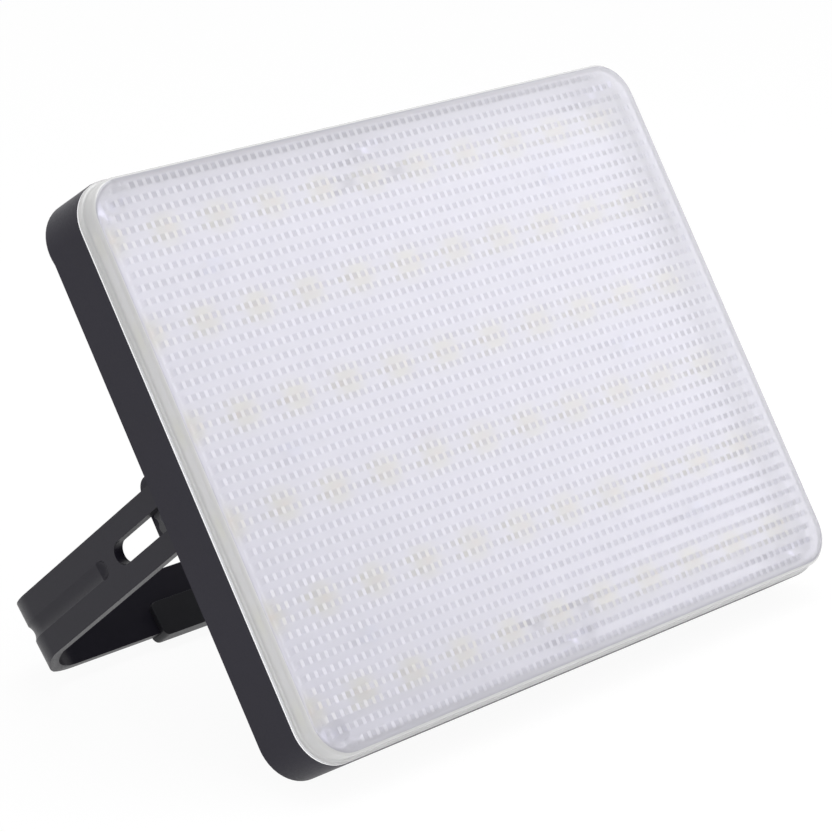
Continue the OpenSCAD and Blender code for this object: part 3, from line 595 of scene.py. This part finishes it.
@dataclass
class PrismLens:
    """Clear lens that wraps over the front: flange, rolled edge, rows of prism flutes and screw posts.

    Its sizes are in millimetres.
    """

    pose: HeadPose
    corner_r: float = 14.95
    flange_t: float = 1.4
    flange_edge: float = 0.55
    flange_reach: float = 0.15
    flange_step: float = 1.15
    flange_roll: float = 0.15
    flange_roll_steps: int = 2
    flange_fillet: float = 0.85
    flange_fillet_steps: int = 4
    wall: float = 2.4
    front_roll: float = 1.9
    front_roll_steps: int = 6
    seat_w: float = 3.55
    flute_pitch: float = 3.5
    row_pitch: float = 4.7
    row_cells: int = 4
    flute_end: float = 0.35
    flute_relief: float = 0.2
    field_gap: float = 0.6
    shade_deg: float = 24.0
    post_r: float = 3.5
    post_sides: int = 24
    post_side: float = 13.0
    post_edge: float = 10.0
    pilot_r: float = 1.6
    pilot_depth: float = 6.0
    arc_steps: int = 12

    def __post_init__(self) -> None:
        """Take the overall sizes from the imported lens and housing."""
        low, high = self.pose.local_box("lens_cover")
        housing = self.pose.local_box("rear_housing")[1]
        self.half_w = high.x + self.flange_reach
        self.half_h = (high.z - low.z) / 2 + self.flange_reach
        self.front = -low.y - self.flute_relief
        self.post_end = -high.y
        self.mid_height = (high.z + low.z) / 2
        self.ceiling = self.front + self.flute_relief - self.wall
        self.head_half_w = housing.x
        self.head_half_h = self.mid_height

    def posts(self) -> list[tuple[float, float]]:
        """Work out where the six screw posts stand.

        Returns:
            Their places across and up the lens.
        """
        out_x = self.head_half_w - self.post_side
        out_y = self.head_half_h - self.post_edge
        return [(x, y) for x in (-out_x, 0.0, out_x) for y in (-out_y, out_y)]

    def shell(self) -> bpy.types.Object:
        """Model the tray: a flange, a wall with a rolled front edge and the hollow behind it.

        Returns:
            The tray, with its front still open.
        """
        bpy.ops.object.select_all(action="DESELECT")
        bpy.ops.mesh.primitive_plane_add(size=2.0)
        tray = bpy.context.active_object
        with Bench(tray) as bench:
            bpy.ops.mesh.select_all(action="SELECT")
            bpy.ops.transform.resize(value=(self.half_w, self.half_h, 1.0))
            bpy.ops.mesh.bevel(offset=self.corner_r, segments=self.arc_steps, affect="VERTICES")
            bench.pick(Pick.FACES, lambda face: True)
            bench.extrude(self.flange_edge)
            bench.extrude(self.flange_t - self.flange_edge)
            bpy.ops.mesh.inset(thickness=self.flange_step)
            bench.extrude(self.front - self.flange_t)
            bench.outward()
            self.roll_rim(bench, 0.0, self.flange_t, self.flange_roll, self.flange_roll_steps)
            self.roll_rim(bench, self.flange_step, self.flange_t, self.flange_fillet,
                          self.flange_fillet_steps)
            self.roll_rim(bench, self.flange_step, self.front, self.front_roll, self.front_roll_steps)
            bench.pick(Pick.FACES, lambda face: face.normal.z < -FACING and height(face) < SNUG)
            bpy.ops.mesh.inset(thickness=self.seat_w)
            bench.extrude(self.ceiling)
            bench.pick(Pick.FACES,
                       lambda face: face.normal.z > FACING and height(face) > self.front - SNUG)
            bpy.ops.mesh.inset(thickness=self.field_gap / 2)
            bpy.ops.mesh.delete(type="ONLY_FACE")
        return tray

    def inset_at(self, x: float, y: float) -> float:
        """Measure how far inside the lens's rounded outline a point near it lies.

        Args:
            x: Distance from the middle across the lens.
            y: Distance from the middle up the lens.

        Returns:
            The distance, which is below zero outside the outline.
        """
        past_x = max(0.0, abs(x) - self.half_w + self.corner_r)
        past_y = max(0.0, abs(y) - self.half_h + self.corner_r)
        return self.corner_r - math.hypot(past_x, past_y)

    def roll_rim(self, bench: Bench, inset: float, level: float, radius: float, segments: int) -> None:
        """Round the sharp rim that runs right round the tray.

        Args:
            bench: The open tray.
            inset: How far inside the outline the rim runs.
            level: Height of the rim.
            radius: Radius of the rounding.
            segments: Faces across it.
        """
        def on_rim(edge: bmesh.types.BMEdge) -> bool:
            """Tell whether an edge runs along the rim.

            Args:
                edge: Any edge of the tray.

            Returns:
                True on the rim.
            """
            middle = (edge.verts[0].co + edge.verts[1].co) / 2
            flat = all(abs(vertex.co.z - level) < SNUG for vertex in edge.verts)
            return flat and abs(self.inset_at(middle.x, middle.y) - inset) < CHORD_SLACK

        bench.pick(Pick.EDGES, on_rim)
        bpy.ops.mesh.bevel(offset=radius, segments=segments, affect="EDGES")

    def field_half(self) -> tuple[float, float]:
        """Give half the width and half the height of the prism field."""
        rim = self.flange_step + self.front_roll + self.field_gap
        return self.half_w - rim, self.half_h - rim

    def field_cells(self) -> tuple[int, int]:
        """Count the cells of the prism field.

        Returns:
            Cells across, two for each flute, and cells up, of which the last of each row is a gap.
        """
        half_w, half_h = self.field_half()
        rows = round(2 * half_h / self.row_pitch)
        return 2 * round(2 * half_w / self.flute_pitch), self.row_cells * rows - 1

    def is_fluted(self, y: float, margin: float) -> bool:
        """Tell whether a height on the prism field lies in a row of flutes.

        Args:
            y: Distance from the middle up the lens.
            margin: How far the row is drawn in at its lower and upper end.

        Returns:
            True in the row, false in the gap above it.
        """
        half_h = self.field_half()[1]
        cell_h = 2 * half_h / self.field_cells()[1]
        above = (y + half_h + SNUG) % (self.row_cells * cell_h)
        return margin <= above <= (self.row_cells - 1) * cell_h - margin + 2 * SNUG

    def is_crease(self, edge: bmesh.types.BMEdge, side: int) -> bool:
        """Tell whether an edge is the ridge or the valley of a flute.

        Args:
            edge: Edge of the grid, after the rows of flutes are inset.
            side: 0 for a ridge, 1 for a valley.

        Returns:
            True for every second edge up a row of flutes.
        """
        low, high = (vertex.co for vertex in edge.verts)
        half_w = self.field_half()[0]
        place = (low.x + half_w) / (2 * half_w / self.field_cells()[0])
        upright = abs(low.x - high.x) < SNUG
        every_second = abs(place - round(place)) < SNUG and round(place) % 2 == side
        level = abs(low.z - self.front) < SNUG and abs(high.z - self.front) < SNUG
        inner = all(abs(face.calc_center_median().x - low.x) > self.flute_end for face in edge.link_faces)
        in_row = all(self.is_fluted(end.y, self.flute_end) for end in (low, high))
        return upright and every_second and level and inner and in_row

    def add_field(self, tray: bpy.types.Object) -> None:
        """Close the front with a grid that fits its rounded corners, and press the flutes into its rows.

        Args:
            tray: The tray with its front open.
        """
        columns, rows = self.field_cells()
        half_w, half_h = self.field_half()
        rim = self.half_w - half_w

        def past_rim(face: bmesh.types.BMFace) -> bool:
            """Tell whether a face of the front reaches past the rim of the prism field.

            Args:
                face: Any face of the tray.

            Returns:
                True where one of its corners lies past the rim.
            """
            corners = [vertex.co for vertex in face.verts]
            in_front = height(face) > self.front - SNUG
            return in_front and any(self.inset_at(spot.x, spot.y) <= rim - SNUG for spot in corners)

        with Bench(tray) as bench:
            bpy.ops.mesh.select_all(action="DESELECT")
            bpy.ops.mesh.primitive_grid_add(x_subdivisions=columns, y_subdivisions=rows, size=1.0,
                                            location=(0.0, 0.0, self.front))
            bpy.ops.transform.resize(value=(2 * half_w, 2 * half_h, 1.0),
                                     center_override=(0.0, 0.0, self.front))
            bench.pick(Pick.FACES, past_rim)
            bpy.ops.mesh.delete(type="FACE")
            bench.pick(Pick.EDGES, lambda edge: edge.is_boundary)
            bpy.ops.mesh.fill(use_beauty=True)
            bench.outward()
            bench.pick(Pick.FACES, lambda face: len(face.verts) == 4 and height(face) > self.front - SNUG
                       and self.is_fluted(face.calc_center_median().y, 0.0))
            bpy.ops.mesh.inset(thickness=self.flute_end)
            bench.pick(Pick.EDGES, lambda edge: self.is_crease(edge, 0))
            bpy.ops.transform.translate(value=(0.0, 0.0, self.flute_relief))
            count = bench.pick(Pick.EDGES, lambda edge: self.is_crease(edge, 1))
            bpy.ops.transform.translate(value=(0.0, 0.0, -self.flute_relief))
        LOG.info("lens: %d flutes in %d rows", count // (self.row_cells - 1), (rows + 1) // self.row_cells)

    def add_posts(self, tray: bpy.types.Object) -> None:
        """Stand the six screw posts on the inner face, each with its pilot hole.

        Args:
            tray: The tray with its front closed.
        """
        length = self.ceiling - self.post_end
        for x, y in self.posts():
            with Bench(tray) as bench:
                bpy.ops.mesh.select_all(action="DESELECT")
                bpy.ops.mesh.primitive_cylinder_add(
                    vertices=self.post_sides, radius=self.post_r, depth=length,
                    location=(x, y, self.post_end + length / 2))
                bench.pick(Pick.FACES, lambda face: height(face) < self.post_end + SNUG
                           and (face.calc_center_median().xy - Vector((x, y))).length < CHORD_SLACK)
                bpy.ops.mesh.inset(thickness=self.post_r - self.pilot_r)
                bench.extrude(self.pilot_depth)

    def build(self) -> None:
        """Model the lens, dress it and set it on the head."""
        lens = self.shell()
        self.add_field(lens)
        self.add_posts(lens)
        smooth(lens, self.shade_deg)
        settle(lens, "prismatic_lens", self.pose.flat_matrix(self.mid_height))
        self.dress(lens)
        seat(lens, "head", "clear_prismatic", "lens_cover")

    def zone_at(self, spot: Vector) -> LensZone:
        """Tell which zone of the lens a face belongs to.

        Args:
            spot: Middle of the face on the lens as it lies flat.

        Returns:
            The zone.
        """
        inset = self.inset_at(spot.x, spot.y)
        if inset > self.seat_w / 2 and spot.z < self.ceiling + SNUG:
            return LensZone.HOLLOW
        if inset < self.flange_step and spot.z < self.flange_edge:
            return LensZone.EDGE
        if inset < self.flange_step + self.front_roll / 2:
            return LensZone.WALL
        return LensZone.FRONT

    def dress(self, lens: bpy.types.Object) -> None:
        """Give each zone its finish: hazy front, painted-shade walls, painted-glow edge and clear hollow.

        Args:
            lens: The lens in its standing pose.
        """
        to_flat = self.pose.flat_matrix(self.mid_height).inverted()
        lens.data.materials.clear()
        for zone in LensZone:
            lens.data.materials.append(LENS_FINISHES[zone].material())
        for face in lens.data.polygons:
            face.material_index = self.zone_at(to_flat @ face.center).value


@dataclass
class LedArray:
    """LED packages on their board: a white frame round a sunken phosphor field, repeated over the grid.

    Its sizes are in millimetres.
    """

    pose: HeadPose
    columns: int = 11
    rows: int = 6
    corner_roll: float = 0.25
    corner_steps: int = 2
    frame_w: float = 0.25
    sink: float = 0.2

    def package(self, size: float, tall: float) -> bpy.types.Object:
        """Model one LED package.

        Args:
            size: Side of the package.
            tall: Height of the package.

        Returns:
            The package, standing on the origin.
        """
        bpy.ops.object.select_all(action="DESELECT")
        bpy.ops.mesh.primitive_cube_add(size=1.0, location=(0.0, 0.0, 0.5))
        led = bpy.context.active_object
        select_only(led)
        bpy.ops.object.transform_apply(location=True, rotation=False, scale=False)
        with Bench(led) as bench:
            bpy.ops.mesh.select_all(action="SELECT")
            bpy.ops.transform.resize(value=(size, size, tall), center_override=(0.0, 0.0, 0.0))
            bench.pick(Pick.EDGES, lambda edge: abs(edge.verts[0].co.z - edge.verts[1].co.z) > tall / 2)
            bpy.ops.mesh.bevel(offset=self.corner_roll, segments=self.corner_steps, affect="EDGES")
            bench.pick(Pick.FACES, lambda face: height(face) > tall - SNUG)
            bpy.ops.mesh.inset(thickness=self.frame_w)
            bench.extrude(-self.sink)
        LED_PLASTIC.dress(led)
        led.data.materials.append(PHOSPHOR.material())
        phosphor = len(led.data.materials) - 1
        for face in led.data.polygons:
            if face.normal.z > FACING and face.center.z < tall - self.sink / 2:
                face.material_index = phosphor
        return led

    def build(self) -> None:
        """Model one package, repeat it over the board and dress the board."""
        low, high = self.pose.local_box("led_chips")
        size, tall = self.package_size()
        pitch_x = (high.x - low.x - size) / (self.columns - 1)
        pitch_y = (high.z - low.z - size) / (self.rows - 1)
        leds = self.package(size, tall)
        for count, step in ((self.columns, (pitch_x, 0.0, 0.0)), (self.rows, (0.0, pitch_y, 0.0))):
            apply_modifier(leds, "ARRAY", count=count, use_relative_offset=False, use_constant_offset=True,
                           constant_offset_displace=step)
        start = Matrix.Translation((low.x + size / 2, low.z + size / 2, -high.y))
        settle(leds, "led_packages", self.pose.flat_matrix(0.0) @ start)
        seat(leds, "head", "phosphor", "led_chips")
        first = self.pose.matrix() @ Vector((low.x + size / 2, high.y, low.z + size / 2))
        first_flat = Matrix.Rotation(self.pose.lean - math.pi / 2, 3, "X") @ first
        SolderMask("white_gloss_solder_mask", field_mm=(pitch_x, pitch_y), lean=self.pose.lean,
                   start=(first_flat.x, first_flat.y)).dress(frame["nodes"]["led_board"])

    def package_size(self) -> tuple[float, float]:
        """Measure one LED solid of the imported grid.

        Returns:
            Its side and its height, in millimetres.
        """
        low, high = self.pose.local_box("led_chips")
        to_head = self.pose.matrix().inverted()
        corners = [to_head @ vertex.co for vertex in frame["nodes"]["led_chips"].data.vertices]
        first_end = low.x + (high.x - low.x) / self.columns / 2
        side = max(point.x for point in corners if point.x < first_end) - low.x
        return side, high.y - low.y


@dataclass
class Moulding:
    """One rigid piece that keeps its CAD shape and gets rolled edges and a finish."""

    node: str
    name: str
    body: str
    slot: str
    finish: Finish
    roll_mm: float

    def build(self) -> None:
        """Soften a copy of the node, dress it and set it on its body."""
        piece = softened_copy(self.node, self.name, self.roll_mm)
        self.dress(piece)
        seat(piece, self.body, self.slot, self.node)

    def dress(self, piece: bpy.types.Object) -> None:
        """Put the finish on the whole piece."""
        self.finish.dress(piece)


@dataclass
class PaintedHousing(Moulding):
    """The housing: its own finish outside, white paint on the walls and floor behind the lens.

    The paint covers what lies a wall's thickness or more inside the outline and no deeper than the floor.
    """

    wall: float = 2.0
    paint_reach: float = 0.1

    def dress(self, piece: bpy.types.Object) -> None:
        """Put the finish on the outside and the paint on the inside.

        Args:
            piece: The softened housing.
        """
        super().dress(piece)
        piece.data.materials.append(REFLECTOR_PAINT.material())
        paint = len(piece.data.materials) - 1
        pose = HeadPose.from_frame()
        to_head = pose.matrix().inverted()
        low, high = pose.local_box(self.node)
        lip = pose.local_box("lens_seal")[1].y
        floor = pose.local_box("thermal_pad")[1].y
        for face in piece.data.polygons:
            spot = to_head @ face.center
            across = low.x + self.wall < spot.x < high.x - self.wall
            upward = low.z + self.wall < spot.z < high.z - self.wall
            if across and upward and lip < spot.y < floor + self.paint_reach:
                face.material_index = paint


MOULDINGS = (
    PaintedHousing("rear_housing", "cast_housing", "head", "charcoal_cast", POWDER_COAT, 0.35),
    Moulding("junction_cover", "switch_box_cover", "head", "charcoal_plastic", GLASS_NYLON, 0.3),
    Moulding("switch_body", "switch_frame", "head", "black_nylon", BLACK_NYLON, 0.25),
    Moulding("switch_rocker", "switch_button", "rocker", "black_nylon", BLACK_NYLON, 0.3),
    Moulding("gland_body", "gland_collar", "head", "black_nylon", BLACK_NYLON, 0.3),
    Moulding("gland_nut", "gland_cap", "head", "black_nylon", BLACK_NYLON, 0.35),
    Moulding("stand_bracket", "stand_bow", "stand", "charcoal_plastic", GLASS_NYLON, 0.6),
    Moulding("foot_pad", "bar_pad", "stand", "black_rubber", PAD_RUBBER, 0.5),
    Moulding("index_discs", "hinge_discs", "head", "black_nylon", BLACK_NYLON, 0.25),
    Moulding("pivot_bolts", "hinge_bolts", "head", "black_steel", BLACK_STEEL, 0.25),
    Moulding("pivot_nuts", "hinge_nuts", "head", "zinc_steel", ZINC_STEEL, 0.25),
)

# Finishes of the CAD nodes that show as they are
NODE_FINISHES = {
    "lens_seal": BLACK_RUBBER,
    "wire_grommet": BLACK_RUBBER,
    "junction_seal": BLACK_RUBBER,
    "gland_seal": BLACK_RUBBER,
    "driver_chips": BLACK_NYLON,
    "gland_locknut": BLACK_NYLON,
    "thermal_pad": SILICONE_SHEET,
    "board_screws": ZINC_STEEL,
    "lens_screws": ZINC_STEEL,
    "junction_screws": ZINC_STEEL,
    "spring_washers": ZINC_STEEL,
    "lead_wires": WIRE_JACKET,
    "terminal_block": IVORY_NYLON,
    "terminal_screws": TURNED_BRASS,
}


@dataclass
class Studio:
    """Plain white studio: floor, soft light from all round and above, and the camera.

    Sizes and places are in metres, and powers in watts.
    """

    floor_size: float = 12.0
    floor_drop: float = 0.0002
    floor_colour: str = "#f8f8f8"
    floor_glow: float = 0.94
    sky_strength: float = 0.72
    key_power: float = 2.05
    key_size: float = 0.6
    key_place: tuple[float, float, float] = (0.68, -0.36, 0.5)
    fill_power: float = 2.2
    fill_size: float = 0.8
    fill_place: tuple[float, float, float] = (-1.1, -1.0, 0.5)
    top_power: float = 7.5
    top_size: float = 0.8
    top_place: tuple[float, float, float] = (0.15, 0.0, 1.2)
    camera_place: tuple[float, float, float] = (-0.78828, -0.75918, 0.43061)
    camera_turn_deg: tuple[float, float, float] = (70.487, 0.206, -46.943)
    camera_lens: float = 144.58
    camera_sensor: float = 36.0
    camera_shift: tuple[float, float] = (-0.0649, 0.125)

    def shown_directly(self, tree: bpy.types.NodeTree) -> bpy.types.NodeSocket:
        """Add nodes that are 1 where the camera, a reflection or a lens sees the surface.

        Args:
            tree: Node tree of a material or the world.

        Returns:
            The socket with that factor.
        """
        path = add_node(tree, "ShaderNodeLightPath")
        seen = add_node(tree, "ShaderNodeMath", {
            0: path.outputs["Is Camera Ray"], 1: path.outputs["Is Glossy Ray"]}, operation="MAXIMUM")
        return add_node(tree, "ShaderNodeMath", {
            0: seen.outputs[0], 1: path.outputs["Is Transmission Ray"]}, operation="MAXIMUM").outputs[0]

    def floor(self) -> None:
        """Lay the floor: white paper that glows faintly for the camera and keeps the shadow."""
        bpy.ops.object.select_all(action="DESELECT")
        bpy.ops.mesh.primitive_plane_add(size=self.floor_size, location=(0.0, 0.0, -self.floor_drop))
        floor = bpy.context.active_object
        floor.name = "studio_floor"
        paper = bpy.data.materials.new("white_paper")
        paper.use_nodes = True
        tree = paper.node_tree
        tree.nodes.clear()
        glow = add_node(tree, "ShaderNodeMath", {0: self.shown_directly(tree), 1: self.floor_glow},
                        operation="MULTIPLY")
        diffuse = add_node(tree, "ShaderNodeBsdfDiffuse", {"Color": linear(self.floor_colour)})
        white = add_node(tree, "ShaderNodeEmission", {"Strength": 1.0})
        mixed = add_node(tree, "ShaderNodeMixShader", {
            0: glow.outputs[0], 1: diffuse.outputs["BSDF"], 2: white.outputs["Emission"]})
        add_node(tree, "ShaderNodeOutputMaterial", {"Surface": mixed.outputs["Shader"]})
        floor.data.materials.append(paper)

    def sky(self) -> None:
        """Light the studio evenly from all round, with plain white where it is seen directly."""
        world = bpy.data.worlds.new("studio")
        bpy.context.scene.world = world
        world.use_nodes = True
        tree = world.node_tree
        tree.nodes.clear()
        strength = add_node(tree, "ShaderNodeMapRange", {
            "Value": self.shown_directly(tree), "To Min": self.sky_strength, "To Max": 1.0})
        light = add_node(tree, "ShaderNodeBackground", {
            "Color": (1.0, 1.0, 1.0, 1.0), "Strength": strength.outputs["Result"]})
        add_node(tree, "ShaderNodeOutputWorld", {"Surface": light.outputs["Background"]})

    def lamp(self, name: str, place: tuple[float, float, float], power: float, size: float) -> None:
        """Hang one soft square lamp that faces the light.

        Args:
            name: Name of the lamp.
            place: Where it hangs.
            power: Its power in watts.
            size: Its side.
        """
        bpy.ops.object.light_add(type="AREA", location=place)
        lamp = bpy.context.active_object
        lamp.name = name
        lamp.data.energy = power
        lamp.data.size = size
        lamp.rotation_euler = (-Vector(place)).to_track_quat("-Z", "Y").to_euler()

    def camera(self) -> None:
        """Set the camera at the photograph's viewing angle."""
        turn = [math.radians(angle) for angle in self.camera_turn_deg]
        bpy.ops.object.camera_add(location=self.camera_place, rotation=turn)
        camera = bpy.context.active_object
        camera.data.lens = self.camera_lens
        camera.data.sensor_width = self.camera_sensor
        camera.data.shift_x, camera.data.shift_y = self.camera_shift
        bpy.context.scene.camera = camera

    def build(self) -> None:
        """Set up the whole studio."""
        bpy.context.scene.view_settings.view_transform = "Standard"
        self.floor()
        self.sky()
        self.lamp("key_lamp", self.key_place, self.key_power, self.key_size)
        self.lamp("fill_lamp", self.fill_place, self.fill_power, self.fill_size)
        self.lamp("top_lamp", self.top_place, self.top_power, self.top_size)
        self.camera()


def main() -> None:
    """Build every sub-assembly in order and report each piece."""
    logging.basicConfig(level=logging.INFO, format="%(name)s: %(message)s")
    bpy.ops.object.select_all(action="DESELECT")
    pose = HeadPose.from_frame()
    Studio().build()
    PrismLens(pose).build()
    LedArray(pose).build()
    for moulding in MOULDINGS:
        moulding.build()
    for node, finish in NODE_FINISHES.items():
        finish.dress(frame["nodes"][node])
        LOG.info("%s: dressed in %s", node, finish.name)


if __name__ == "__main__":
    main()
